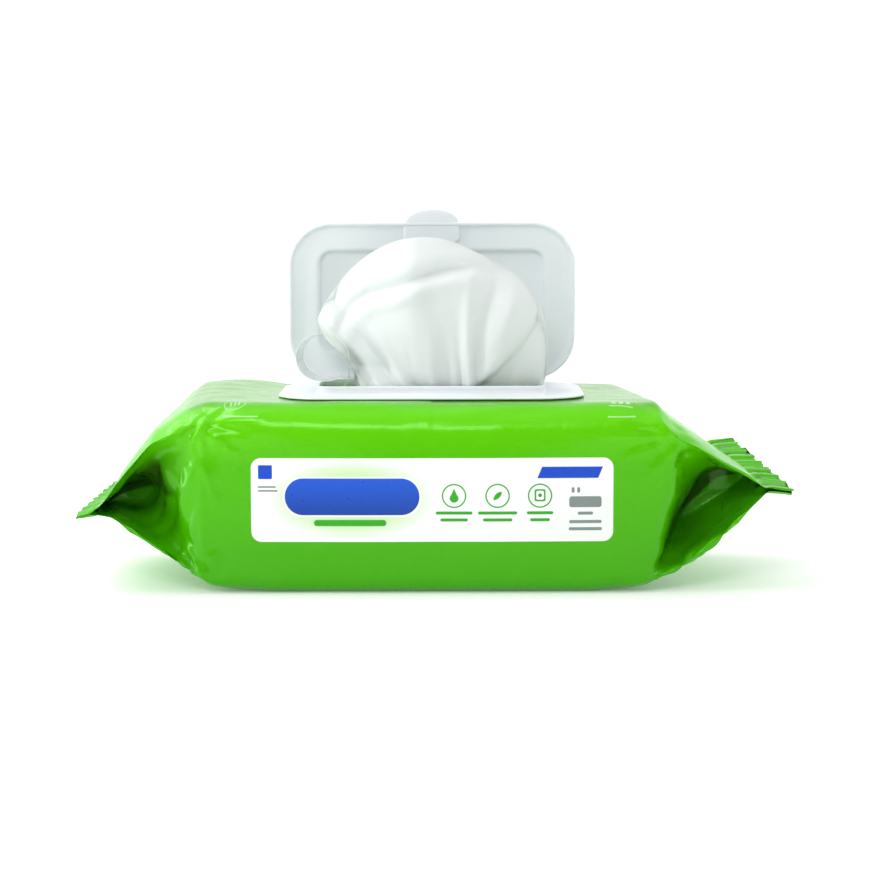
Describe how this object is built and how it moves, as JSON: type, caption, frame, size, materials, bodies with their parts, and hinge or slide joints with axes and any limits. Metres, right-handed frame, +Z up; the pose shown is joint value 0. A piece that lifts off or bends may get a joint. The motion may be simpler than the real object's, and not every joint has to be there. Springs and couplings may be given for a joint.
{
  "type": "wet wipes pack",
  "caption": "Soft film pack of wet wipes with a hinged flip-top lid standing open, a drawn-up wipe and a rolled peel label.",
  "frame": {"origin": "on the floor under the middle of the pack", "axes": "+Z up, +X along the pack, +Y from the front face to the back, where the lid is hinged"},
  "size_m": [0.337, 0.13, 0.18],
  "materials": {
    "printed_film": "bright green glossy laminate film, white printed panel on the front",
    "wipe_cloth": "soft white nonwoven",
    "clear_film": "clear glossy label film",
    "white_plastic": "satin white moulded plastic"
  },
  "bodies": {
    "pack": {"film_pouch": "printed_film", "folded_wipes": "wipe_cloth", "drawn_wipe": "wipe_cloth", "peel_label": "clear_film", "lid_frame": "white_plastic", "hinge_web": "white_plastic"},
    "lid": {"flip_lid": "white_plastic"}
  },
  "joints": [
    {"name": "lid_hinge", "type": "hinge", "parent": "pack", "child": "lid", "pos_m": [0, 0.04, 0.093], "axis": [1, 0, 0], "range_deg": [-15, 90], "deforming": ["drawn_wipe", "peel_label", "hinge_web"]}
  ]
}
